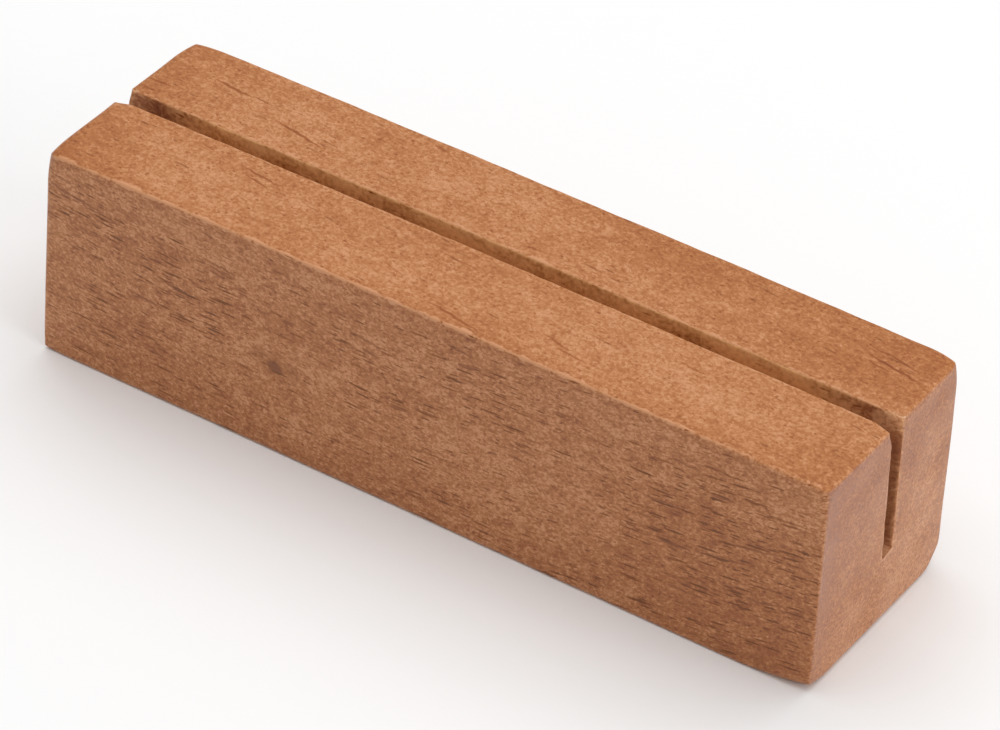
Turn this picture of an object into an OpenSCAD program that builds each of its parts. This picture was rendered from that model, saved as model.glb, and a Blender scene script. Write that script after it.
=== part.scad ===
// Pick holder: a small hardwood block with one saw kerf along its top.
// Picks stand on edge in the kerf, one beside the other.
// The holder is one piece of wood, so it has one sub-part.
// X runs along the block, Y across it and Z up. The origin is the middle of the underside.

/* [Block] */
// Length of the block, along the kerf
block_length = 89.8; // [60:0.1:150]
// Width of the block, across the kerf
block_width = 24.9; // [18:0.1:40]
// Height of the block
block_height = 24.5; // [21:0.1:40]

/* [Kerf] */
// Width of the kerf, which takes one pick's thickness with a little room
kerf_width = 2.0; // [1:0.1:4]
// Depth of the kerf below the top face
kerf_depth = 16; // [8:0.5:18]

/* [Eased edges] */
// Radius of the two long edges of the top face
top_edge_radius = 0.6; // [0.2:0.1:2]
// Radius of the two long edges of the underside
bottom_edge_radius = 0.8; // [0.2:0.1:3]
// Radius of the short edges, above and below each end face
end_edge_radius = 0.9; // [0.2:0.1:3]
// Radius of the four upright edges
corner_radius = 1.0; // [0.2:0.1:3]
// Radius of the kerf's two lips
lip_radius = 0.3; // [0.1:0.1:1]

/* [Hidden] */
$fn = 96;
// How far each cutting shape runs past the wood that it cuts
overrun = 1;
wood_colour = [0.74, 0.50, 0.35];

// What sanding takes off one square corner at the origin, where the wood lies towards +X +Y
module corner_waste(radius) {
    difference() {
        translate([-overrun, -overrun]) square(radius + overrun);
        translate([radius, radius]) circle(radius);
    }
}

// A rectangle centred over the X axis, with one radius for its lower corners and one for its upper
module eased_rectangle(width, height, lower_radius, upper_radius) {
    difference() {
        translate([-width / 2, 0]) square([width, height]);
        for (side = [0, 1]) {
            mirror([side, 0]) {
                translate([-width / 2, 0]) corner_waste(lower_radius);
                translate([-width / 2, height]) mirror([0, 1]) corner_waste(upper_radius);
            }
        }
    }
}

// The block before it is sawn: its end view, side view and plan, each eased at its own corners
module eased_block() {
    intersection() {
        rotate([90, 0, 90])
            linear_extrude(block_length, center = true)
                eased_rectangle(block_width, block_height, bottom_edge_radius, top_edge_radius);
        rotate([90, 0, 0])
            linear_extrude(block_width, center = true)
                eased_rectangle(block_length, block_height, end_edge_radius, end_edge_radius);
        linear_extrude(block_height)
            translate([0, -block_width / 2])
                eased_rectangle(block_length, block_width, corner_radius, corner_radius);
    }
}

// A channel that is centred on the Y axis and opens upwards at the given height, with rounded lips
module channel_outline(mouth_height, depth) {
    translate([-kerf_width / 2, mouth_height - depth])
        square([kerf_width, depth + overrun]);
    difference() {
        translate([-kerf_width / 2 - lip_radius, mouth_height - lip_radius])
            square([kerf_width + 2 * lip_radius, lip_radius + overrun]);
        for (side = [-1, 1]) {
            translate([side * (kerf_width / 2 + lip_radius), mouth_height - lip_radius])
                circle(lip_radius);
        }
    }
}

// The kerf: sawn along the top, flat at the bottom and open at both ends
module kerf() {
    rotate([90, 0, 90])
        linear_extrude(block_length + 2 * overrun, center = true)
            channel_outline(block_height, kerf_depth);
    // The same lips where the kerf comes out through each end face
    for (end = [-90, 90]) {
        rotate([0, 0, end])
            translate([0, 0, block_height - kerf_depth])
                linear_extrude(kerf_depth + overrun)
                    channel_outline(block_length / 2, 2 * lip_radius);
    }
}

module block() {
    color(wood_colour)
        difference() {
            eased_block();
            kerf();
        }
}

block();
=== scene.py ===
# %% [markdown]
# # A pick holder: one block of hardwood with a saw kerf along its top
#
# The real object is a single stick of reddish-brown hardwood, about 90 mm long and about as wide as it is
# high. A saw has cut one thin channel, the kerf, from end to end, and guitar picks stand in it on edge.
# There is almost no shape to hide behind here, so this lesson is about the small things that make a plain
# block look like wood: hand-sanded edges, grain that runs through the solid, and soft light. The block is
# drawn as a very fine mesh, because sanding is a change of shape that shows in the outline.

# %% Load the frame and measure the block
import math

import bpy
import numpy as np
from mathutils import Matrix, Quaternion, Vector, noise


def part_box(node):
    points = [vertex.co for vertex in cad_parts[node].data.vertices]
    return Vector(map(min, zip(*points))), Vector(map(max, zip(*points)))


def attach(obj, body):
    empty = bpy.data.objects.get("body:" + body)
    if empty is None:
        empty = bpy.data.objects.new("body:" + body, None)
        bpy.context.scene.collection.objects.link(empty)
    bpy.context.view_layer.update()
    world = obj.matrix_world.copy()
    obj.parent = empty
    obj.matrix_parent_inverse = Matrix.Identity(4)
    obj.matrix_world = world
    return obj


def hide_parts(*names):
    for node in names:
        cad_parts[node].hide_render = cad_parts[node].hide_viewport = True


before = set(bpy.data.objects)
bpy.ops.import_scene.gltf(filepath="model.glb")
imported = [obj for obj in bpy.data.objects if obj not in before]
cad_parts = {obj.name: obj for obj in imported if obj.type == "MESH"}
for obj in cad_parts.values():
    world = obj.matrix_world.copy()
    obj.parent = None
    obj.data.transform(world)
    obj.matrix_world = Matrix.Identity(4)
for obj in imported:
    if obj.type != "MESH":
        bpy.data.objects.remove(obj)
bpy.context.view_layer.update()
MM = 0.001
block_low, block_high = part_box("block")
length, width, height = ((high - low) / MM for low, high in zip(block_low, block_high))
print(f"block: {length:.1f} x {width:.1f} x {height:.1f} mm")

# %% [markdown]
# ## The camera
#
# A long lens from half a metre away keeps the block's edges almost parallel, as in a catalogue picture. The
# camera goes on a sphere round the point that it aims at: an azimuth round the block, an elevation above
# the table, and a distance. A little roll about its own axis tilts the picture, as a hand-held camera does.

# %% Place the camera
CAMERA_AZIMUTH = math.radians(31.62)
CAMERA_ELEVATION = math.radians(37.17)
CAMERA_ROLL = math.radians(3.20)
CAMERA_DISTANCE = 506.4 * MM
CAMERA_LENS = 187.2
CAMERA_AIM = Vector((1.36, 0.06, 11.37)) * MM

towards_camera = Vector((
    math.sin(CAMERA_AZIMUTH) * math.cos(CAMERA_ELEVATION),
    -math.cos(CAMERA_AZIMUTH) * math.cos(CAMERA_ELEVATION),
    math.sin(CAMERA_ELEVATION),
))
camera = bpy.data.objects.new("camera", bpy.data.cameras.new("camera"))
bpy.context.scene.collection.objects.link(camera)
camera.data.sensor_width = 36
camera.data.lens = CAMERA_LENS
camera.data.clip_start = 0.01
camera.data.clip_end = 20
camera.location = CAMERA_AIM + towards_camera * CAMERA_DISTANCE
camera.rotation_mode = "QUATERNION"
level_turn = (-towards_camera).to_track_quat("-Z", "Y")
camera.rotation_quaternion = level_turn @ Quaternion((0, 0, 1), CAMERA_ROLL)
bpy.context.scene.camera = camera
print("camera at", [round(place, 3) for place in camera.location])

# %% [markdown]
# ## A grid of little bricks
#
# The block could be made with a cube, a Boolean cut and a Bevel modifier. A Boolean leaves long, uneven
# faces beside the kerf, and a Bevel gives every edge one even radius, which looks machined and not sanded
# by hand. So the wood is cut up, in thought, into a grid of little bricks. The bricks where the saw passed
# are left out. Each square with wood on one side and air on the other becomes a face of the mesh, so the
# skin is closed and made of neat quads. The grid lines crowd together near the edges, where the sanding
# will bend the skin.

# %% Choose the grid lines
KERF_WIDTH = 2.0
KERF_DEPTH = 16.0
FINEST_GAP = 0.1
WIDEST_GAP = 0.46
GAP_GROWTH = 1.35
LINES_ACROSS_KERF = 6


def graded_lines(start, stop):
    """Places from start to stop in mm, close together at both ends and wider apart in the middle."""
    half = (stop - start) / 2
    reached, gap = [0.0], FINEST_GAP
    while reached[-1] < half:
        reached.append(reached[-1] + gap)
        gap = min(gap * GAP_GROWTH, WIDEST_GAP)
    steps = np.array(reached) * half / reached[-1]
    return np.concatenate([start + steps, stop - steps[-2::-1]])


kerf_floor = height - KERF_DEPTH
x_lines = graded_lines(-length / 2, length / 2)
y_lines = np.concatenate([
    graded_lines(-width / 2, -KERF_WIDTH / 2),
    np.linspace(-KERF_WIDTH / 2, KERF_WIDTH / 2, LINES_ACROSS_KERF)[1:-1],
    graded_lines(KERF_WIDTH / 2, width / 2),
])
z_lines = np.concatenate([graded_lines(0, kerf_floor)[:-1], graded_lines(kerf_floor, height)])
print("grid lines along X, Y and Z:", len(x_lines), len(y_lines), len(z_lines))

# %% Wrap a skin round the bricks that are wood
def skin_of(is_wood):
    """Grid corners of each square between wood and air, in the order that makes it face the air."""
    corner_counts = tuple(count + 1 for count in is_wood.shape)
    padded = np.pad(is_wood.astype(np.int8), 1)
    squares = []
    for axis in range(3):
        change = np.diff(padded, axis=axis)
        inner = tuple(slice(None) if a == axis else slice(1, -1) for a in range(3))
        change = change[inner]
        across, up = np.eye(3, dtype=int)[(axis + 1) % 3], np.eye(3, dtype=int)[(axis + 2) % 3]
        for facing, walk in ((-1, (0, across, across + up, up)), (1, (0, up, across + up, across))):
            first = np.argwhere(change == facing)
            corners = [np.ravel_multi_index((first + step).T, corner_counts) for step in walk]
            squares.append(np.stack(corners, axis=1))
    return np.concatenate(squares), corner_counts


def middles(lines):
    return (lines[1:] + lines[:-1]) / 2


sawn_across = np.abs(middles(y_lines)) < KERF_WIDTH / 2
sawn_up = middles(z_lines) > kerf_floor
is_wood = np.ones((len(x_lines) - 1, len(y_lines) - 1, len(z_lines) - 1), dtype=bool)
is_wood[:, sawn_across[:, None] & sawn_up[None, :]] = False
grid_squares, corner_counts = skin_of(is_wood)
used_corners, squares = np.unique(grid_squares, return_inverse=True)
squares = squares.reshape(grid_squares.shape)
ix, iy, iz = np.unravel_index(used_corners, corner_counts)
sharp_x, sharp_y, sharp_z = x_lines[ix], y_lines[iy], z_lines[iz]
print(f"skin: {len(sharp_x)} corners, {len(squares)} squares")

# %% [markdown]
# ## Sanding the edges
#
# Real sanding takes most off where two faces meet. Each point of the skin knows how far it is from both
# faces of an edge, and `ease` pulls the points near the edge onto an arc. Radii differ along each edge,
# because a hand with sandpaper lifts, presses and slips: the corners lose more, the long edges stay crisp,
# and small nicks show. `wander` is smooth noise along a line, which makes each radius drift.

# %% Tools for sanding
def smooth_step(value, start, stop):
    """0 before start, 1 after stop, and an even S-curve between them."""
    share = np.clip((value - start) / (stop - start), 0, 1)
    return share * share * (3 - 2 * share)


def wander(places, size, seed):
    """Smooth noise from -1 to 1 at places in mm along a line. Bumps are about size long. Seeds differ."""
    stops = np.arange(places.min() - size, places.max() + 2 * size, size / 4)
    heights = [noise.noise(Vector((stop / size, seed * 7.31, seed * 1.93))) for stop in stops]
    return np.interp(places, stops, heights)


def ease(first, second, radius):
    """Rounds the edge between two faces. first and second are a point's distances from the two faces."""
    past_first = np.maximum(radius - first, 0)
    past_second = np.maximum(radius - second, 0)
    reach = np.hypot(past_first, past_second)
    pull = np.where(reach > radius, radius / np.maximum(reach, 1e-9), 1)
    return (
        np.where(past_first > 0, radius - past_first * pull, first),
        np.where(past_second > 0, radius - past_second * pull, second),
    )


def blend(start, stop, share):
    return start + (stop - start) * share


def report_radii(name, radii):
    print(f"{name}: radii from {radii.min():.2f} to {radii.max():.2f} mm")


print(f"a radius of 1 mm takes {np.hypot(*ease(0.0, 0.0, 1.0)):.2f} mm off the very edge")

# %% Sand the kerf's lips
# Each radius below is in mm. It starts even, and each wander adds a drift, with its bumps' size and a seed.
LIP_SHIFT = 40
TORN_SHIFT = 60
# A distance too small to matter, which keeps the comparisons safe from rounding
HAIR = 1e-6

x, y, z = sharp_x.copy(), sharp_y.copy(), sharp_z.copy()
along, across, up = x / length + 0.5, y / width + 0.5, z / height
is_near, is_front, is_top = x > 0, y < 0, z > height / 2
side = np.sign(y)

# The lips stay almost sharp, with tiny chips, and flare out where they reach an end of the block.
# The shifts give the two lips different stretches of the noise, so that they don't match.
from_kerf = np.abs(y) - KERF_WIDTH / 2
beside_kerf = (from_kerf > -HAIR) & (z > kerf_floor + HAIR)
lip_radius = 0.22 + 0.12 * wander(x + LIP_SHIFT * side, 1.4, 3) + 0.10 * wander(x - LIP_SHIFT * side, 7, 4)
lip_radius += 0.95 * smooth_step(np.abs(x), length / 2 - 2.4, length / 2)
eased, from_top = ease(from_kerf, height - z, lip_radius)
from_kerf = np.where(beside_kerf, eased, from_kerf)
z = np.where(beside_kerf, height - from_top, z)

# The saw's teeth tear a little out of each end face too, most of all near the top
torn_radius = 0.25 + 0.16 * wander(z + TORN_SHIFT * side, 0.9, 5)
torn_radius += 0.85 * smooth_step(z, height - 2.2, height)
eased, from_end = ease(from_kerf, length / 2 - np.abs(x), torn_radius)
from_kerf = np.where(beside_kerf, eased, from_kerf)
x = np.where(beside_kerf, np.sign(x) * (length / 2 - from_end), x)
y = np.where(beside_kerf, side * (from_kerf + KERF_WIDTH / 2), y)
report_radii("kerf's lips", lip_radius)

# %% Sand the long edges
near_bottom_corner = smooth_step(x, length / 2 - 8, length / 2)
front_top = 0.32 + 0.12 * wander(x, 9, 11) + 0.10 * wander(x, 2.2, 12)
back_top = 0.40 + 0.14 * wander(x, 8, 13) + 0.08 * wander(x, 2.5, 14)
front_bottom = blend(0.5, 1.7, near_bottom_corner) + 0.12 * wander(x, 6, 15)
back_bottom = blend(1.0, 4.3, near_bottom_corner) + 0.12 * wander(x, 7, 16)
top_radius = np.where(is_front, front_top, back_top)
bottom_radius = np.where(is_front, front_bottom, back_bottom)
from_side = width / 2 - np.abs(y)
from_level = np.where(is_top, height - z, z)
from_side, from_level = ease(from_side, from_level, np.where(is_top, top_radius, bottom_radius))
y = np.sign(y) * (width / 2 - from_side)
z = np.where(is_top, height - from_level, from_level)
report_radii("long edges at the top", top_radius)
report_radii("long edges at the bottom", bottom_radius)

# %% Sand the edges round the end faces
# Short edges, above and below each end face
near_radius = np.where(is_top, 0.5, blend(1.3, 0.5, across)) + 0.15 * wander(y, 4, 21)
far_radius = np.where(is_top, blend(1.05, 0.7, across), 0.6) + 0.15 * wander(y, 4, 22)
from_end = length / 2 - np.abs(x)
from_level = np.where(is_top, height - z, z)
from_end, from_level = ease(from_end, from_level, np.where(is_near, near_radius, far_radius))
x = np.sign(x) * (length / 2 - from_end)
z = np.where(is_top, height - from_level, from_level)
report_radii("short edges, near end", near_radius)

# Upright edges
near_radius = np.where(is_front, 0.6, blend(0.6, 0.9, up)) + 0.15 * wander(z, 5, 23)
far_radius = np.where(is_front, blend(0.25, 1.3, up), 0.8) + 0.12 * wander(z, 5, 24)
from_end, from_side = length / 2 - np.abs(x), width / 2 - np.abs(y)
from_end, from_side = ease(from_end, from_side, np.where(is_near, near_radius, far_radius))
x = np.sign(x) * (length / 2 - from_end)
y = np.sign(y) * (width / 2 - from_side)
report_radii("upright edges, near end", near_radius)

# %% [markdown]
# ## What the hand adds
#
# Each corner is dubbed off a little more than its three edges, and no two corners by the same amount. The
# top has been sanded about 0.2 mm lower at the ends. The ends were sawn a fraction of a degree out of
# square, and the kerf leans slightly, because the block moved against the fence. None of this is noticed by
# itself, but a block without it looks like a drawing. Each change is a small smooth push of the skin's
# points.

# %% Dub off the corners
CORNER_REACH = 3.8
NEAR_CORNER_DUBS = {"front top": 0.28, "back top": 0.34, "front bottom": 0.38, "back bottom": 0.30}
FAR_CORNER_DUBS = {"front top": 0.36, "back top": 0.26, "front bottom": 0.10, "back bottom": 0.30}


def closeness(distance):
    return np.clip(1 - distance / CORNER_REACH, 0, 1) ** 2


def corner_amount(dubs):
    """The amount for each point's own corner, from a table for one end of the block."""
    front = np.where(is_top, dubs["front top"], dubs["front bottom"])
    back = np.where(is_top, dubs["back top"], dubs["back bottom"])
    return np.where(is_front, front, back)


from_end, from_side = length / 2 - np.abs(x), width / 2 - np.abs(y)
from_level = np.where(is_top, height - z, z)
dub = np.where(is_near, corner_amount(NEAR_CORNER_DUBS), corner_amount(FAR_CORNER_DUBS))
dub *= closeness(from_end) * closeness(from_side) * closeness(from_level)
x -= np.sign(x) * dub
y -= np.sign(y) * dub
z += np.where(is_top, -dub, dub)
print(f"corners: up to {dub.max():.2f} mm more taken off in each direction")

# %% Crown the top, skew the ends and lean the kerf
# In mm, apart from the lean, which is mm sideways for each mm down
TOP_CROWN = 0.22
NEAR_END_SKEW = -0.29
FAR_END_LEAN = 0.31
KERF_SHIFT = 0.25
KERF_LEAN = 0.035
KERF_TAPER = 0.12
KERF_FLOOR_TILT = 0.3

z -= TOP_CROWN * (2 * x / length) ** 2 * up ** 4
end_share = smooth_step(np.abs(x), length / 2 - 8, length / 2)
x += end_share * np.where(is_near, NEAR_END_SKEW * (across - 0.5), FAR_END_LEAN * (up - 0.5))
kerf_pull = 1 - smooth_step(np.abs(y), 2.5, 10)
y += kerf_pull * (KERF_SHIFT + KERF_LEAN * (height - z)) * smooth_step(z, 0, kerf_floor)

in_kerf = (np.abs(sharp_y) < KERF_WIDTH / 2 + HAIR) & (sharp_z > kerf_floor - HAIR)
on_kerf_floor = in_kerf & (sharp_z < kerf_floor + HAIR)
y -= np.where(in_kerf, side * KERF_TAPER * (height - z) / KERF_DEPTH, 0)
z += np.where(on_kerf_floor, KERF_FLOOR_TILT * sharp_y / KERF_WIDTH, 0)
print(f"kerf: {np.degrees(np.arctan(KERF_LEAN)):.1f} degrees off upright")

# %% Let the sides wave a little
FACE_WAVE = 0.05
WAVES_ALONG = (2.3, 5.1)
FIRST_WAVE_SEED = 31

outer_skin = smooth_step(np.abs(y), 3, 9)
for number, count in enumerate(WAVES_ALONG):
    ripple = wander(along * length, length / count, FIRST_WAVE_SEED + number) * FACE_WAVE
    y += np.sign(y) * outer_skin * ripple * (1 - 0.5 * up)
x, y, z = np.clip(x, -length / 2, length / 2), np.clip(y, -width / 2, width / 2), np.clip(z, 0, height)
eased_points = np.stack([x, y, z], axis=1)
sharp_points = np.stack([sharp_x, sharp_y, sharp_z], axis=1)
print(f"most wood taken off: {np.linalg.norm(eased_points - sharp_points, axis=1).max():.2f} mm")

# %% [markdown]
# ## From numbers to a mesh
#
# The points and squares become one mesh. Four extra values are kept at each point, in millimetres, so that
# the materials know where they are: `edge_distance` to the nearest outer edge, `lip_distance` to the kerf,
# `ridge_distance` to the edge between the top and the front, and `kerf_depth` below the top, which is above
# zero only inside the kerf. The faces in the kerf get a material of their own, because sawn wood and sanded
# wood don't look alike.

# %% Measure each point's distances
face_distances = np.stack([
    length / 2 - np.abs(sharp_x),
    width / 2 - np.abs(sharp_y),
    np.minimum(sharp_z, height - sharp_z),
])
from_mouth = np.maximum(np.abs(sharp_y) - KERF_WIDTH / 2, 0)
point_values = {
    "edge_distance": np.sort(face_distances, axis=0)[1],
    "kerf_depth": np.where(in_kerf, height - sharp_z, 0),
    "lip_distance": np.hypot(from_mouth, np.maximum(kerf_floor - sharp_z, 0)),
    "ridge_distance": np.hypot(width / 2 + sharp_y, height - sharp_z),
}
for name, values in point_values.items():
    print(f"{name}: up to {values.max():.1f} mm")

# %% Build the block
SHARP_ANGLE = math.radians(60)

block_mesh = bpy.data.meshes.new("sanded_block")
block_mesh.from_pydata((eased_points * MM).tolist(), [], squares.tolist())
block_mesh.shade_smooth()
block_mesh.set_sharp_from_angle(angle=SHARP_ANGLE)
for name, values in point_values.items():
    stored = block_mesh.attributes.new(name, "FLOAT", "POINT")
    stored.data.foreach_set("value", values.astype(np.float32))
squares_in_kerf = in_kerf[squares].all(axis=1)
block_mesh.polygons.foreach_set("material_index", squares_in_kerf.astype(np.int32))
block_mesh.update()
block = bpy.data.objects.new("sanded_block", block_mesh)
bpy.context.scene.collection.objects.link(block)

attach(block, "root")
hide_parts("block")
print(f"block mesh: {len(block_mesh.polygons)} faces")

# %% [markdown]
# ## Wood that goes right through
#
# A flat picture of wood wrapped round a block always gives itself away at the corners. Here the wood is a
# solid pattern: each point asks for its own place in the block, so a pore on the front runs on into the
# end. The place comes from the Texture Coordinate node's Object output, turned into millimetres, so every
# size below is a real one. Effects that the sanded and the sawn wood share are node groups, built once.

# %% Tools for placing shader nodes
NODES_IN_A_ROW = 12
COLUMN_STEP = 190
ROW_STEP = -220


def put(tree, kind, inputs=None, **settings):
    """Adds a shader node. inputs maps a socket's name or number to a value, or to the socket feeding it."""
    made = tree.nodes.new("ShaderNode" + kind)
    row, column = divmod(len(tree.nodes), NODES_IN_A_ROW)
    made.location = (COLUMN_STEP * column, ROW_STEP * row)
    for name, value in settings.items():
        setattr(made, name, value)
    for key, value in (inputs or {}).items():
        if isinstance(value, bpy.types.NodeSocket):
            tree.links.new(value, made.inputs[key])
        else:
            made.inputs[key].default_value = value
    return made


def calc(tree, operation, *values):
    """One Math node's result."""
    return put(tree, "Math", dict(enumerate(values)), operation=operation).outputs[0]


def vector_calc(tree, operation, *values, output=0):
    """One Vector Math node's result."""
    return put(tree, "VectorMath", dict(enumerate(values)), operation=operation).outputs[output]


def add_up(tree, start, parts):
    """start plus each part times its own weight."""
    total = start
    for part, weight in parts:
        total = calc(tree, "MULTIPLY_ADD", part, weight, total)
    return total


print("a row of the node editor holds", NODES_IN_A_ROW, "nodes")

# %% Tools for fading, mixing and swaying
NOISE_MIDDLE = 0.5


def fade(tree, value, start, stop):
    """0 at start, 1 at stop, and a soft curve between them. start may be the larger one."""
    inputs = {"Value": value, "From Min": start, "From Max": stop}
    return put(tree, "MapRange", inputs, interpolation_type="SMOOTHSTEP").outputs[0]


def mix_numbers(tree, share, under, over):
    return put(tree, "Mix", {"Factor": share, 2: under, 3: over}, data_type="FLOAT").outputs[0]


def mix_colours(tree, share, under, over):
    return put(tree, "Mix", {"Factor": share, 6: under, 7: over}, data_type="RGBA").outputs[2]


def sway(tree, place, scale, detail, amounts):
    """A soft push that changes from place to place, up to half of each amount either way."""
    colour = put(tree, "TexNoise", {"Vector": place, "Scale": scale, "Detail": detail}).outputs["Color"]
    centred = vector_calc(tree, "SUBTRACT", colour, (NOISE_MIDDLE,) * 3)
    return vector_calc(tree, "MULTIPLY", centred, amounts)


print("noise swings about", NOISE_MIDDLE)

# %% Tools for node groups
def new_group(name, takes, gives):
    """A new node group. takes maps input names to defaults, gives maps output names to socket kinds."""
    group = bpy.data.node_groups.new(name, "ShaderNodeTree")
    for socket_name, value in takes.items():
        kind = "NodeSocketVector" if isinstance(value, tuple) else "NodeSocketFloat"
        group.interface.new_socket(socket_name, in_out="INPUT", socket_type=kind).default_value = value
    for socket_name, kind in gives.items():
        group.interface.new_socket(socket_name, in_out="OUTPUT", socket_type="NodeSocket" + kind)
    entrance, exit_ = group.nodes.new("NodeGroupInput"), group.nodes.new("NodeGroupOutput")
    return group, entrance.outputs, exit_.inputs


def use(tree, group, **inputs):
    """Places a group in a tree and gives back its outputs. An input named size fills Size."""
    made = tree.nodes.new("ShaderNodeGroup")
    made.node_tree = group
    for name, value in inputs.items():
        socket = made.inputs[name.title()]
        if isinstance(value, bpy.types.NodeSocket):
            tree.links.new(value, socket)
        else:
            socket.default_value = value
    return made.outputs


def report_nodes(tree, name):
    print(f"{name}: {len(tree.nodes)} nodes")


print("node groups before the first one is built:", len(bpy.data.node_groups))

# %% [markdown]
# ## The way the grain runs
#
# The fibres aren't parallel to the faces. On the front they dip towards the middle and climb at both ends,
# and on the top they drift towards the front. `grain_flow` bends a place so that every pattern made after
# it follows the fibres, and adds slow waves, because a tree doesn't grow along a ruler.

# %% Build the grain flow group
# The bow is the rise in mm at 1 mm from its middle. The drift is mm sideways for each mm along.
GRAIN_BOW = 0.0013
GRAIN_BOW_MIDDLE = -8.0
GRAIN_DRIFT = 0.09
GRAIN_WAVE = 1.1
GRAIN_WAVE_SIZES = (17, 9, 9)

grain_flow, takes, gives = new_group("grain_flow", {"Place": (0.0, 0.0, 0.0)}, {"Grain": "Vector"})
xyz = put(grain_flow, "SeparateXYZ", {0: takes["Place"]}).outputs
from_middle = calc(grain_flow, "SUBTRACT", xyz["X"], GRAIN_BOW_MIDDLE)
bow = calc(grain_flow, "MULTIPLY", calc(grain_flow, "MULTIPLY", from_middle, from_middle), -GRAIN_BOW)
drift = calc(grain_flow, "MULTIPLY", xyz["X"], GRAIN_DRIFT)
bend = put(grain_flow, "CombineXYZ", {"Y": drift, "Z": bow}).outputs[0]
wave_place = vector_calc(grain_flow, "MULTIPLY", takes["Place"], tuple(1 / size for size in GRAIN_WAVE_SIZES))
wave = sway(grain_flow, wave_place, 1.0, 1.0, (0.0, GRAIN_WAVE, GRAIN_WAVE))
bent = vector_calc(grain_flow, "ADD", takes["Place"], bend)
grain_flow.links.new(vector_calc(grain_flow, "ADD", bent, wave), gives["Grain"])
report_nodes(grain_flow, "grain flow")

# %% [markdown]
# ## Mottle, curls and pores
#
# Sanded hardwood shows three things at arm's length. `mottle` is the cloudy change of colour, at any size.
# `curls` are the fine dark threads between the fibres, drawn where a noise crosses its middle value, which
# gives thin winding lines. `pores` are the wood's open vessels, cut along their length, so they show as
# short dark strokes on the sides and as dots on the ends. A Voronoi pattern with long thin cells makes
# them: the places close to a cell's own point are inside the pore, and most cells stay empty.

# %% Build the mottle group
mottle, takes, gives = new_group(
    "mottle", {"Grain": (0.0, 0.0, 0.0), "Size": (1.0, 1.0, 1.0), "Curl": 0.0, "Detail": 1.0, "Shift": 0.0},
    {"Mottle": "Float"})
scaled = vector_calc(mottle, "DIVIDE", takes["Grain"], takes["Size"])
shift = put(mottle, "CombineXYZ", {axis: takes["Shift"] for axis in "XYZ"}).outputs[0]
scaled = vector_calc(mottle, "ADD", scaled, shift)
cloud = put(mottle, "TexNoise", {"Vector": scaled, "Scale": 1.0, "Detail": takes["Detail"], "Roughness": 0.6,
                                 "Distortion": takes["Curl"]}).outputs[0]
mottle.links.new(calc(mottle, "SUBTRACT", cloud, NOISE_MIDDLE), gives["Mottle"])
report_nodes(mottle, "mottle")

# %% Build the curls group
curls, takes, gives = new_group(
    "curls", {"Grain": (0.0, 0.0, 0.0), "Size": (1.0, 1.0, 1.0), "Thinness": 0.05, "Share": 0.5},
    {"Mask": "Float"})
scaled = vector_calc(curls, "DIVIDE", takes["Grain"], takes["Size"])
thread = put(curls, "TexNoise", {"Vector": scaled, "Scale": 1.0, "Detail": 0.6, "Distortion": 0.8}).outputs[0]
off_line = calc(curls, "ABSOLUTE", calc(curls, "SUBTRACT", thread, NOISE_MIDDLE))
line = fade(curls, off_line, takes["Thinness"], 0.0)
breaks = put(curls, "TexNoise", {"Vector": scaled, "Scale": 0.9, "Detail": 0.0}).outputs[0]
broken = fade(curls, breaks, calc(curls, "SUBTRACT", 0.75, calc(curls, "MULTIPLY", takes["Share"], 0.5)), 0.8)
curls.links.new(calc(curls, "MULTIPLY", line, broken), gives["Mask"])
report_nodes(curls, "curls")

# %% Build the pores group
# A pore's radius as a share of its cell, and how much of that radius is fully dark
PORE_RADIUS = 0.36
PORE_CORE = 0.3
SHALLOWEST_PORE = 0.35

pores, takes, gives = new_group(
    "pores", {"Grain": (0.0, 0.0, 0.0), "Size": (4.2, 0.33, 0.33), "Share": 0.25}, {"Mask": "Float"})
cells = put(pores, "TexVoronoi", {"Vector": vector_calc(pores, "DIVIDE", takes["Grain"], takes["Size"]),
                                  "Scale": 1.0}, voronoi_dimensions="3D", feature="F1")
chance = put(pores, "SeparateColor", {0: cells.outputs["Color"]}).outputs
inside = fade(pores, cells.outputs["Distance"], PORE_RADIUS, PORE_RADIUS * PORE_CORE)
open_ = calc(pores, "LESS_THAN", chance[0], takes["Share"])
depth = calc(pores, "MULTIPLY_ADD", chance[1], 1 - SHALLOWEST_PORE, SHALLOWEST_PORE)
pores.links.new(calc(pores, "MULTIPLY", calc(pores, "MULTIPLY", inside, open_), depth), gives["Mask"])
report_nodes(pores, "pores")

# %% [markdown]
# ## Colour as depth of stain
#
# Bare reddish hardwood goes darker the way that tea does: each extra bit of depth takes away some red, more
# green and most blue. So nearly every effect, painted highlights and shade among them, only adds to or takes
# from one number, the depth, and a colour ramp in the `stain` group turns the depth into a colour. That keeps
# pale flecks yellowish and dark threads reddish, as they are in real wood, where a plain mix with black or
# white would look dirty or chalky. Only dust, which also stands for a painted sheen, the bottoms of open
# pores, freshly torn fibres and the painted light at the kerf's mouth are mixed in afterwards, as colours of
# their own.

# %% Build the stain group
PALE_WOOD = (0.597, 0.274, 0.126)
GREEN_LOSS = 1.75
BLUE_LOSS = 3.3
DEEPEST = 2.4
RAMP_STOPS = 9


def stained(depth):
    """The wood's colour under a depth of stain."""
    losses = (1.0, GREEN_LOSS, BLUE_LOSS)
    return tuple(pale * math.exp(-depth * loss) for pale, loss in zip(PALE_WOOD, losses)) + (1.0,)


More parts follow.
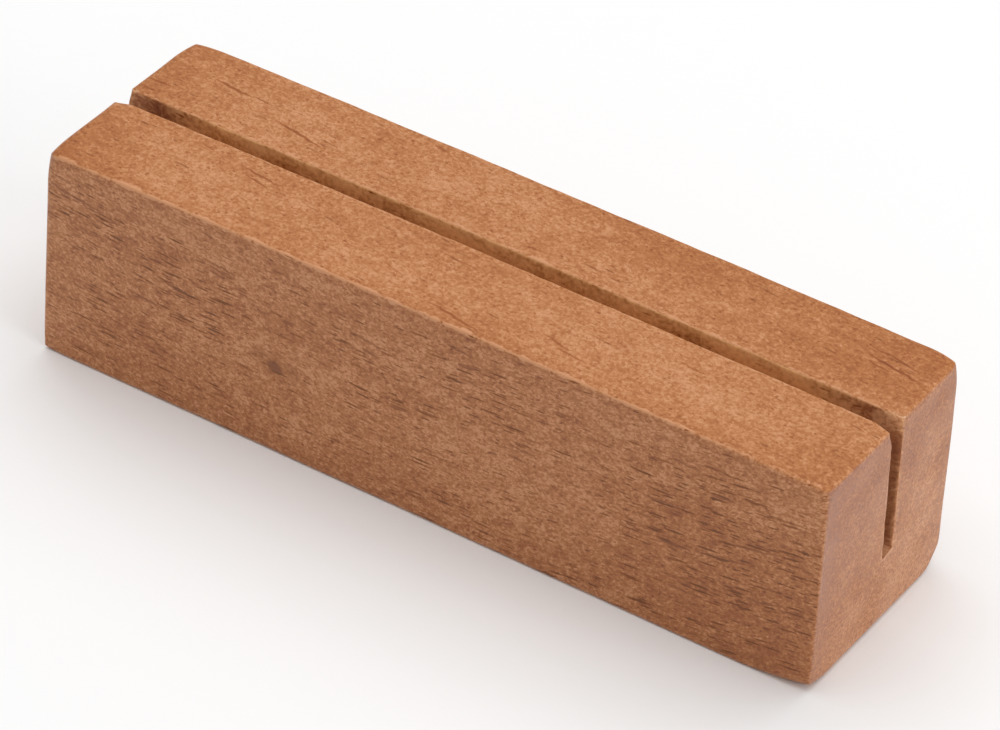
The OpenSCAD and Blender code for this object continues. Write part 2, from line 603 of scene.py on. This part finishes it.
stain, takes, gives = new_group("stain", {"Depth": 0.0}, {"Colour": "Color"})
ramp = put(stain, "ValToRGB", {0: calc(stain, "DIVIDE", takes["Depth"], DEEPEST)})
while len(ramp.color_ramp.elements) < RAMP_STOPS:
    ramp.color_ramp.elements.new(0.5)
for number, element in enumerate(ramp.color_ramp.elements):
    element.position = number / (RAMP_STOPS - 1)
    element.color = stained(DEEPEST * number / (RAMP_STOPS - 1))
stain.links.new(ramp.outputs["Color"], gives["Colour"])
print("pale:", [round(part, 3) for part in stained(0)], "deep:", [round(part, 3) for part in stained(1)])

# %% [markdown]
# ## Sanded wood
#
# The outer faces have been sanded and left bare, with no varnish, so they are matt, but smooth enough to
# give a soft sheen at a low angle. Every face is cut through the same solid wood and still looks different:
# the front and back show more pores, and the ends are end grain, with the fibres cut across, so they are
# finer and more even. One material can do all of that if it first works out which way each point faces.

# %% Start the sanded wood and tell its faces apart
# How squarely a point must face one way to start to count as that face, and to count fully
FACE_TURN = (0.45, 0.8)


def start_material(name):
    """A new material, its node tree, its Principled BSDF and each point's place in millimetres."""
    material = bpy.data.materials.new(name)
    material.use_nodes = True
    tree = material.node_tree
    place = put(tree, "TexCoord").outputs["Object"]
    place = put(tree, "VectorMath", {0: place, "Scale": 1 / MM}, operation="SCALE").outputs[0]
    return material, tree, tree.nodes["Principled BSDF"], place


sanded_wood, tree, bsdf, place = start_material("sanded_wood")
grain = use(tree, grain_flow, place=place)["Grain"]
xyz = put(tree, "SeparateXYZ", {0: place}).outputs
facing = put(tree, "SeparateXYZ", {0: put(tree, "TexCoord").outputs["Normal"]}).outputs
end_share = fade(tree, calc(tree, "ABSOLUTE", facing["X"]), *FACE_TURN)
top_share = fade(tree, facing["Z"], *FACE_TURN)
front_share = fade(tree, calc(tree, "MULTIPLY", facing["Y"], -1.0), *FACE_TURN)
side_share = calc(tree, "SUBTRACT", 1.0, calc(tree, "MAXIMUM", end_share, top_share))
report_nodes(tree, "sanded wood")

# %% Lay down the mottle and the threads
# Sizes are in millimetres along the grain, across it and up it
broad = use(tree, mottle, grain=grain, size=(14.0, 6.0, 5.0), detail=1.0, shift=3.0)["Mottle"]
middling = use(tree, mottle, grain=grain, size=(2.0, 1.4, 1.1), detail=1.5, curl=0.5, shift=11.0)["Mottle"]
fine = use(tree, mottle, grain=grain, size=(0.42, 0.38, 0.30), detail=3.0, curl=0.5, shift=23.0)["Mottle"]
threads = use(tree, curls, grain=grain, size=(0.8, 0.55, 0.42), thinness=0.06, share=0.9)["Mask"]
report_nodes(tree, "sanded wood")

# %% [markdown]
# ## Single streaks and a knot
#
# Some marks belong to this block alone: a small dark knot on the front, and the long pores that the eye
# finds again each time. A `streak` is a long thin ellipse on a face. Two dot products turn the way from its
# middle into lengths along it and across it, in half lengths and half widths, so the mark fades from its
# middle, where both are 0, to its rim, where their squares add up to 1. The lists below give each mark in
# mm. The streaks and the knot are shaken by a small noise, so that they come out ragged and not ruled.

# %% Build the streak group
streak, takes, gives = new_group(
    "streak", {"Place": (0.0, 0.0, 0.0), "Middle": (0.0, 0.0, 0.0), "Along": (1.0, 0.0, 0.0),
               "Across": (0.0, 1.0, 0.0), "Strength": 1.0, "Below": 0.0}, {"Mask": "Float"})
from_middle = vector_calc(streak, "SUBTRACT", takes["Place"], takes["Middle"])
run = vector_calc(streak, "DOT_PRODUCT", from_middle, takes["Along"], output="Value")
off = vector_calc(streak, "DOT_PRODUCT", from_middle, takes["Across"], output="Value")
squares_sum = calc(streak, "MULTIPLY_ADD", run, run, calc(streak, "MULTIPLY", off, off))
mark = calc(streak, "MULTIPLY", fade(streak, squares_sum, 1.0, 0.1), takes["Strength"])
streak.links.new(calc(streak, "MAXIMUM", mark, takes["Below"]), gives["Mask"])
report_nodes(streak, "streak")

# %% List the marks on the top
# Streaks: x and y where each starts, x and y where it ends, half its width and its strength
TOP_STREAKS = [
    (-38.8, 7.9, -33.8, 7.2, 0.22, 1.0), (-30.2, 5.6, -22.6, 4.0, 0.20, 0.9),
    (-44.3, 4.2, -41.0, 4.0, 0.18, 0.7), (-44.0, 2.7, -42.2, 2.5, 0.15, 0.6),
    (-27.8, -2.9, -22.9, -3.6, 0.18, 0.8), (-26.6, -3.9, -22.8, -4.6, 0.15, 0.7),
    (-33.0, -2.0, -31.4, -2.4, 0.15, 0.5), (-1.0, -10.4, 6.2, -11.6, 0.20, 0.8),
    (-8.2, -7.6, -4.6, -8.5, 0.14, 0.35), (-3.6, -9.0, 1.0, -10.2, 0.14, 0.35),
    (11.0, -8.1, 14.6, -8.9, 0.18, 0.7), (12.8, -9.1, 16.7, -9.7, 0.16, 0.7),
    (23.6, -4.1, 27.0, -4.4, 0.16, 0.55), (-4.2, -3.1, 0.8, -3.5, 0.13, 0.4),
    (36.0, 9.2, 42.8, 8.2, 0.18, 0.7), (36.8, 7.9, 43.8, 6.7, 0.22, 0.9),
    (37.6, 6.9, 40.4, 6.6, 0.16, 0.7), (2.3, 2.8, 3.0, 2.7, 0.22, 0.8),
    (11.4, 3.2, 12.4, 3.0, 0.16, 0.6), (-14.2, 11.4, -12.8, 11.0, 0.2, 0.6),
]
# Soft darker patches: the middle, half the length, half the width, a turn and a strength
TOP_PATCHES = [
    (42, 8, 16, 7, 0, 1.0), (22, 12, 26, 6, 0, 0.8), (-43, -10, 9, 7, 0, 0.9), (-44, 5, 6, 7, 0, 0.5),
    (44, -9, 7, 5, 0, 0.5),
]
print("top:", len(TOP_STREAKS), "streaks and", len(TOP_PATCHES), "patches")

# %% List the marks on the front
# Streaks and patches as on the top, with x and z
FRONT_STREAKS = [
    (-44.2, 20.9, -37.2, 19.8, 0.18, 0.8), (-44.0, 22.2, -41.2, 21.6, 0.16, 0.7),
    (-25.6, 19.8, -21.4, 19.4, 0.16, 0.8), (-25.0, 19.2, -21.6, 18.9, 0.16, 0.8),
    (-24.6, 18.7, -22.4, 18.4, 0.15, 0.7), (-30.4, 14.9, -27.2, 14.5, 0.18, 0.9),
    (-29.6, 14.2, -26.8, 13.9, 0.16, 0.7), (-34.6, 12.0, -30.0, 11.6, 0.18, 0.8),
    (-8.4, 18.8, -3.4, 18.2, 0.16, 0.7), (-6.4, 17.3, -5.2, 17.1, 0.24, 0.9),
    (-9.8, 17.2, -7.4, 17.0, 0.15, 0.7), (3.0, 22.2, 5.6, 22.0, 0.16, 0.7),
    (4.6, 20.6, 6.8, 20.5, 0.16, 0.7), (4.9, 19.0, 6.6, 18.9, 0.16, 0.7),
    (10.4, 13.8, 13.6, 13.5, 0.17, 0.7), (11.0, 12.5, 12.2, 12.4, 0.22, 0.8),
    (27.2, 10.6, 31.0, 10.7, 0.22, 1.0), (31.4, 10.9, 37.6, 12.0, 0.18, 0.8),
    (34.6, 13.4, 40.4, 14.6, 0.18, 0.7), (28.0, 20.4, 31.4, 20.3, 0.17, 0.7),
    (32.6, 18.4, 35.4, 18.6, 0.17, 0.7), (36.8, 8.0, 41.6, 9.0, 0.18, 0.7),
    (-32.4, 5.8, -30.0, 5.6, 0.16, 0.6), (-2.8, 12.2, -0.6, 12.1, 0.16, 0.7),
    (29.0, 5.6, 33.0, 5.9, 0.18, 0.6), (25.6, 14.8, 29.2, 15.0, 0.17, 0.7),
]
# The knot, and the stained wood round it
KNOT = [(-17.6, 10.7, -15.6, 10.2, 0.9, 1.2), (-20.0, 11.2, -13.0, 10.0, 1.9, 0.3)]
FRONT_PATCHES = [
    (36, 6, 22, 16, 0, 0.9), (0, 0, 60, 6, 0, 0.6), (-31, 4, 7, 5, 0, 0.6), (42, 0, 10, 8, 0, 1.2),
]
# Places where the pores crowd together
PORE_CLUSTERS = [
    (-40, 19, 8, 6, -0.05, 1.2), (-28, 15, 9, 7, 0, 1.2), (-7, 17, 5, 6, 0, 0.8), (8, 18, 8, 7, 0, 0.8),
    (0, 13, 5, 3, 0, 0.7), (35, 13, 15, 11, 0.08, 1.3), (36, 4, 12, 5, 0.1, 0.8), (-36, 8, 9, 4, 0, 0.8),
]
print("front:", len(FRONT_STREAKS), "streaks and", len(FRONT_PATCHES), "patches")

# %% Draw the marks on the sanded wood
SOFT_TIP = 0.4
SHAKE = 0.7


def top_plane(x, y):
    return (x, y, 0.0)


def front_plane(x, z):
    return (x, 0.0, z)


def draw_ellipses(tree, place, ellipses, plane):
    """Ellipses on one face: two numbers for the middle, half a length and width, a turn and a strength."""
    strongest = 0.0
    for middle_x, middle_other, half_length, half_width, turn, strength in ellipses:
        along = plane(math.cos(turn) / half_length, math.sin(turn) / half_length)
        across = plane(-math.sin(turn) / half_width, math.cos(turn) / half_width)
        strongest = use(tree, streak, place=place, middle=plane(middle_x, middle_other), along=along,
                        across=across, strength=strength, below=strongest)["Mask"]
    return strongest


def as_ellipses(streaks):
    """Streaks from end to end, turned into ellipses with soft tips."""
    ellipses = []
    for start_x, start_other, end_x, end_other, half_width, strength in streaks:
        run_x, run_other = end_x - start_x, end_other - start_other
        half_length = math.hypot(run_x, run_other) / 2 + SOFT_TIP
        middle_x, middle_other = (start_x + end_x) / 2, (start_other + end_other) / 2
        turn = math.atan2(run_other, run_x)
        ellipses.append((middle_x, middle_other, half_length, half_width, turn, strength))
    return ellipses


shaken = vector_calc(tree, "ADD", place, sway(tree, place, 0.9, 2.0, (SHAKE,) * 3))
top_marks = draw_ellipses(tree, shaken, as_ellipses(TOP_STREAKS), top_plane)
top_marks = calc(tree, "MULTIPLY", top_marks, top_share)
front_marks = draw_ellipses(tree, shaken, as_ellipses(FRONT_STREAKS + KNOT), front_plane)
front_marks = calc(tree, "MULTIPLY", front_marks, front_share)
marks = calc(tree, "MAXIMUM", top_marks, front_marks)
frayed = calc(tree, "MULTIPLY", marks, calc(tree, "MULTIPLY_ADD", fine, 2.0, 0.95))
top_patches = calc(tree, "MULTIPLY", draw_ellipses(tree, place, TOP_PATCHES, top_plane), top_share)
front_patches = calc(tree, "MULTIPLY", draw_ellipses(tree, place, FRONT_PATCHES, front_plane), front_share)
clusters = calc(tree, "MULTIPLY", draw_ellipses(tree, place, PORE_CLUSTERS, front_plane), side_share)
report_nodes(tree, "sanded wood")

# %% [markdown]
# ## Pores everywhere else
#
# The rest of the pores come from the `pores` group, at four sizes. A slow mottle decides where they crowd
# together, and the sides get more of them than the top, because the saw met the vessels at another angle
# there. Specks and flecks are the shortest: dark dots and pale ones, which keep the sanded face from
# looking smooth.

# %% Scatter the pores
crowding = use(tree, mottle, grain=grain, size=(6.5, 3.4, 2.6), detail=1.0, shift=41.0)["Mottle"]
share = add_up(tree, -0.05, [(crowding, 1.3), (side_share, 0.27), (clusters, 0.56), (top_patches, 0.10)])
short_share = calc(tree, "ADD", share, 0.05)
long_pores = use(tree, pores, grain=grain, size=(8.0, 0.46, 0.42), share=share)["Mask"]
short_pores = use(tree, pores, grain=grain, size=(2.6, 0.36, 0.31), share=short_share)["Mask"]
specks = use(tree, pores, grain=grain, size=(0.70, 0.42, 0.34), share=0.34)["Mask"]
# Moved along, so that the flecks don't lie where the specks do
moved_grain = vector_calc(tree, "ADD", grain, (3.3, 5.1, 7.7))
flecks = use(tree, pores, grain=moved_grain, size=(0.60, 0.44, 0.38), share=0.38)["Mask"]
report_nodes(tree, "sanded wood")

# %% [markdown]
# ## Wear, painted highlights, chips, dust, painted sheen and painted shade
#
# Edges that hands and sandpaper rub are a little smoother, and they are painted paler, partly for wear and
# partly as a painted highlight. The long ridge between the top and the front carries the palest painted
# highlight, apart from its near end, with slightly darker wood beside it. Where the kerf comes out of an end,
# the saw has torn some fibres, and they show as small bright chips, most of all at the top corner. Fine
# sanding dust stays in the end grain, and the same dust colour paints the end's pinkish sheen, which makes
# the ends paler and pinker. A trace of it stays on the sides, where it is partly a painted sheen too. Each
# end also gets painted shade towards its upright sides and painted light towards its lower back corner. The
# distances kept in the mesh place the wear, the painted highlights and the chips, and noise is added to them,
# so that no line is even.

# %% Find the worn edges and the painted highlights
from_edge = put(tree, "Attribute", attribute_name="edge_distance").outputs["Fac"]
from_lip = put(tree, "Attribute", attribute_name="lip_distance").outputs["Fac"]
from_ridge = put(tree, "Attribute", attribute_name="ridge_distance").outputs["Fac"]
# Edges and the kerf's lips are painted paler here: partly real wear, partly a painted highlight
noisy_edge_distance = calc(tree, "MULTIPLY_ADD", middling, 2.4, calc(tree, "MINIMUM", from_edge, from_lip))
worn_and_highlit = fade(tree, noisy_edge_distance, 0.30, 0.0)
# A painted highlight along the ridge between the top and the front, which stops short of the near end
painted_ridge_highlight = fade(tree, calc(tree, "MULTIPLY_ADD", middling, 0.8, from_ridge), 0.38, 0.08)
painted_ridge_highlight = calc(tree, "MULTIPLY", painted_ridge_highlight, fade(tree, xyz["X"], 38.0, 24.0))
beside_ridge = fade(tree, from_ridge, 1.3, 0.6)
report_nodes(tree, "sanded wood")

# %% Find the chips, and paint light and shade on the ends
# Chips lie in the last 2 mm before an end: all round the mouth, and here and there further down
near_end = fade(tree, calc(tree, "ABSOLUTE", xyz["X"]), 43.0, 44.4)
near_top = fade(tree, xyz["Z"], 22.8, 24.2)
here_and_there = calc(tree, "MULTIPLY", fade(tree, middling, 0.02, 0.16), 0.5)
chipped = fade(tree, calc(tree, "MULTIPLY_ADD", fine, 2.6, from_lip), 0.30, 0.02)
chipped = calc(tree, "MULTIPLY", chipped, calc(tree, "MAXIMUM", near_top, here_and_there))
chipped = calc(tree, "MULTIPLY", chipped, near_end)
# Painted shade and more painted sheen on each end towards its two upright sides, and painted light with
# less painted sheen towards its lower back corner
painted_end_rim_shade = calc(tree, "MULTIPLY", fade(tree, calc(tree, "ABSOLUTE", xyz["Y"]), 8.5, 12.3), end_share)
above_foot = calc(tree, "MULTIPLY_ADD", xyz["Y"], -0.6, xyz["Z"])
painted_end_foot_light = calc(tree, "MULTIPLY", fade(tree, above_foot, 27.0, 0.0), end_share)
report_nodes(tree, "sanded wood")

# %% Add up the depth of stain
# Each pair is an effect and its weight. A weight above 0 darkens where the effect is strong.
clouds = calc(tree, "MULTIPLY", middling, add_up(tree, -0.48, [(side_share, -0.28)]))
sandy = add_up(tree, 0.0, [(fine, -1.55), (threads, 0.26), (specks, 0.56), (flecks, -0.16)])
sandy = calc(tree, "MULTIPLY", sandy, add_up(tree, 0.82, [(side_share, 0.36)]))
open_pores = add_up(tree, 0.0, [(long_pores, 1.0), (short_pores, 0.9)])
open_pores = calc(tree, "MULTIPLY", open_pores, add_up(tree, 0.60, [(side_share, 0.34), (clusters, 0.25)]))
# The ridge's weight below paints a highlight along the edge between the top and the front
side_grain = add_up(tree, -0.02, [
    (broad, -0.35), (clouds, 1.0), (sandy, 1.0), (open_pores, 0.80), (frayed, 0.55),
    (top_patches, 0.16), (clusters, 0.03), (front_patches, 0.15), (side_share, 0.03), (painted_ridge_highlight, -0.36),
    (beside_ridge, 0.09),
])
# On the ends, two weights below paint shade towards the upright sides and light towards the lower back corner
end_grain = add_up(tree, 0.33, [
    (broad, -0.5), (middling, -0.65), (fine, -1.9), (specks, 0.65), (flecks, -0.25), (painted_end_rim_shade, 0.16),
    (painted_end_foot_light, -0.35),
])
texture = mix_numbers(tree, end_share, side_grain, end_grain)
# The worn edges' weight below is partly wear and partly a painted highlight
depth = add_up(tree, 0.25, [(texture, 1.0), (worn_and_highlit, -0.28), (chipped, -0.6)])
report_nodes(tree, "sanded wood")

# %% Colour the sanded wood
# How much of the colour is dust and painted sheen, on the ends and on the sides
END_DUST_AND_SHEEN = 0.23
SIDE_DUST_AND_SHEEN = 0.08
DUST_AND_SHEEN_COLOUR = (0.62, 0.42, 0.34, 1.0)
PORE_COLOUR = (0.20, 0.098, 0.042, 1.0)
PORE_STRENGTH = 0.54
CHIP_COLOUR = (0.86, 0.56, 0.34, 1.0)
CHIP_STRENGTH = 0.7

# More of the painted sheen towards each end's upright sides, and less towards its lower back corner
end_dust_and_sheen = add_up(tree, END_DUST_AND_SHEEN, [(painted_end_rim_shade, 0.07), (painted_end_foot_light, -0.07), (flecks, 0.1), (broad, 0.2)])
side_dust_and_sheen = add_up(tree, SIDE_DUST_AND_SHEEN, [(open_pores, -0.09)])
# The dust colour also stands for a painted sheen, mostly on the ends and a little on the sides
dust_and_sheen = calc(tree, "MULTIPLY_ADD", end_share, end_dust_and_sheen, calc(tree, "MULTIPLY", side_share, side_dust_and_sheen))
colour = mix_colours(tree, dust_and_sheen, use(tree, stain, depth=depth)["Colour"], DUST_AND_SHEEN_COLOUR)
darkest = add_up(tree, 0.0, [(open_pores, 1.0), (front_marks, 0.50)])
in_pore = calc(tree, "MULTIPLY", darkest, add_up(tree, PORE_STRENGTH, [(end_share, -PORE_STRENGTH)]))
colour = mix_colours(tree, in_pore, colour, PORE_COLOUR)
colour = mix_colours(tree, calc(tree, "MULTIPLY", chipped, CHIP_STRENGTH), colour, CHIP_COLOUR)
tree.links.new(colour, bsdf.inputs["Base Color"])
report_nodes(tree, "sanded wood")

# %% Give the sanded wood its sheen and relief
bsdf.inputs["Specular IOR Level"].default_value = 0.3
roughness = add_up(tree, 0.50, [(fine, 0.35), (middling, 0.2), (long_pores, 0.15), (worn_and_highlit, -0.06)])
tree.links.new(roughness, bsdf.inputs["Roughness"])
relief = add_up(tree, 0.5, [(fine, 0.35), (long_pores, -1.0), (short_pores, -0.8)])
bump = put(tree, "Bump", {"Strength": 0.35, "Distance": 0.12 * MM, "Height": relief})
tree.links.new(bump.outputs[0], bsdf.inputs["Normal"])
block_mesh.materials.append(sanded_wood)
report_nodes(tree, "sanded wood")

# %% [markdown]
# ## Sawn wood
#
# Nobody can sand inside a channel two millimetres wide, so its walls are as the saw left them: rough, with
# faint upright marks where the teeth passed. Near the mouth the walls are painted lighter and orange, and
# further down they are browner, which is painted shade down the channel. Towards the block's ends they are
# painted browner right up to the mouth, which is painted shade too, with a little dust colour in it. The
# groups from before do the work again, with sizes and weights of their own.

# %% Find the painted light and shade and the saw's marks
sawn_wood, tree, bsdf, place = start_material("sawn_wood")
grain = use(tree, grain_flow, place=place)["Grain"]
broad = use(tree, mottle, grain=grain, size=(5.0, 3.0, 3.0), detail=1.0, shift=5.0)["Mottle"]
fine = use(tree, mottle, grain=grain, size=(0.6, 0.5, 0.5), detail=1.5, curl=0.4, shift=29.0)["Mottle"]
tooth_lines = use(tree, mottle, grain=place, size=(0.7, 6.0, 7.0), detail=2.0, shift=17.0)["Mottle"]
vessels = use(tree, pores, grain=grain, size=(2.6, 0.50, 0.50), share=0.35)["Mask"]
from_top = put(tree, "Attribute", attribute_name="kerf_depth").outputs["Fac"]
# Painted light near the kerf's mouth, fading into painted shade further down
near_mouth = fade(tree, from_top, 7.0, 1.5)
from_middle = calc(tree, "ABSOLUTE", put(tree, "SeparateXYZ", {0: place}).outputs["X"])
# Painted shade inside the kerf towards the block's ends
painted_kerf_end_shade = fade(tree, from_middle, 33.0, 44.0)
report_nodes(tree, "sawn wood")

# %% Colour the sawn wood
# The painted light's orange colour and its share near the kerf's mouth
MOUTH_LIGHT_COLOUR = (0.93, 0.52, 0.22, 1.0)
MOUTH_LIGHT_SHARE = 0.52
# A little dust colour in the painted shade near the ends
KERF_END_DUST = 0.12

# The kerf-end weight below paints shade near the block's ends
depth = add_up(tree, 0.16, [
    (broad, -1.2), (fine, -1.4), (tooth_lines, -0.8), (vessels, 0.5), (painted_kerf_end_shade, 0.26),
])
# The orange mixed in near the mouth is painted light; less of it near the ends is painted shade
patchy = add_up(tree, MOUTH_LIGHT_SHARE, [(fine, 1.0), (broad, 0.9), (vessels, -0.3), (painted_kerf_end_shade, -0.55)])
painted_mouth_light = calc(tree, "MULTIPLY", near_mouth, patchy)
colour = mix_colours(tree, painted_mouth_light, use(tree, stain, depth=depth)["Colour"], MOUTH_LIGHT_COLOUR)
# A little dust colour mixed into the painted shade near the ends
colour = mix_colours(tree, calc(tree, "MULTIPLY", painted_kerf_end_shade, KERF_END_DUST), colour, DUST_AND_SHEEN_COLOUR)
tree.links.new(colour, bsdf.inputs["Base Color"])
report_nodes(tree, "sawn wood")

# %% Roughen the sawn wood
bsdf.inputs["Specular IOR Level"].default_value = 0.2
tree.links.new(add_up(tree, 0.72, [(fine, 0.3)]), bsdf.inputs["Roughness"])
relief = add_up(tree, 0.5, [(tooth_lines, 0.6), (fine, 0.3), (vessels, -0.3)])
bump = put(tree, "Bump", {"Strength": 0.5, "Distance": 0.2 * MM, "Height": relief})
tree.links.new(bump.outputs[0], bsdf.inputs["Normal"])
block_mesh.materials.append(sawn_wood)
report_nodes(tree, "sawn wood")

# %% [markdown]
# ## The studio
#
# The block stands on a plain near-white table. A large soft light hangs above and a little behind, so the
# top is the brightest face and the front is in gentle shade. A second softbox stands off the near end and
# puts a pale sheen on it, and more of that sheen is painted into the end's colour. The white table throws
# light back up, which is why the front and the end are never dark.

# %% Lay the table
TABLE_SIZE = 6.0
TABLE_PAINT = (0.92, 0.92, 0.92, 1)

half = TABLE_SIZE / 2
table_corners = [(-half, -half, 0), (half, -half, 0), (half, half, 0), (-half, half, 0)]
table_mesh = bpy.data.meshes.new("table")
table_mesh.from_pydata(table_corners, [], [(0, 1, 2, 3)])
table = bpy.data.objects.new("table", table_mesh)
bpy.context.scene.collection.objects.link(table)
table_paint = bpy.data.materials.new("table_paint")
table_paint.use_nodes = True
paint_inputs = table_paint.node_tree.nodes["Principled BSDF"].inputs
paint_inputs["Base Color"].default_value = TABLE_PAINT
paint_inputs["Roughness"].default_value = 0.9
table_mesh.materials.append(table_paint)
print(f"table: {TABLE_SIZE:.0f} m square")

# %% Hang the lights
AIM_HEIGHT = 0.012
ROOM_LIGHT = 0.45


def hang_softbox(name, place, size, watts):
    """A square area light at a place in metres, aimed at the block."""
    lamp = bpy.data.lights.new(name, "AREA")
    lamp.shape, lamp.size, lamp.energy = "SQUARE", size, watts
    holder = bpy.data.objects.new(name, lamp)
    bpy.context.scene.collection.objects.link(holder)
    holder.location = place
    aim = Vector((0, 0, AIM_HEIGHT)) - Vector(place)
    holder.rotation_euler = aim.to_track_quat("-Z", "Y").to_euler()
    print(f"{name}: {watts:.0f} W, {aim.length:.2f} m away")


world = bpy.data.worlds.new("studio")
bpy.context.scene.world = world
world.use_nodes = True
world.node_tree.nodes["Background"].inputs["Color"].default_value = (1, 1, 1, 1)
world.node_tree.nodes["Background"].inputs["Strength"].default_value = ROOM_LIGHT
hang_softbox("key_softbox", (-0.1, 0.35, 1.5), 2.2, 22.0)
hang_softbox("end_softbox", (1.4, -0.1, 0.55), 0.9, 6.0)
bpy.context.scene.view_settings.view_transform = "Standard"
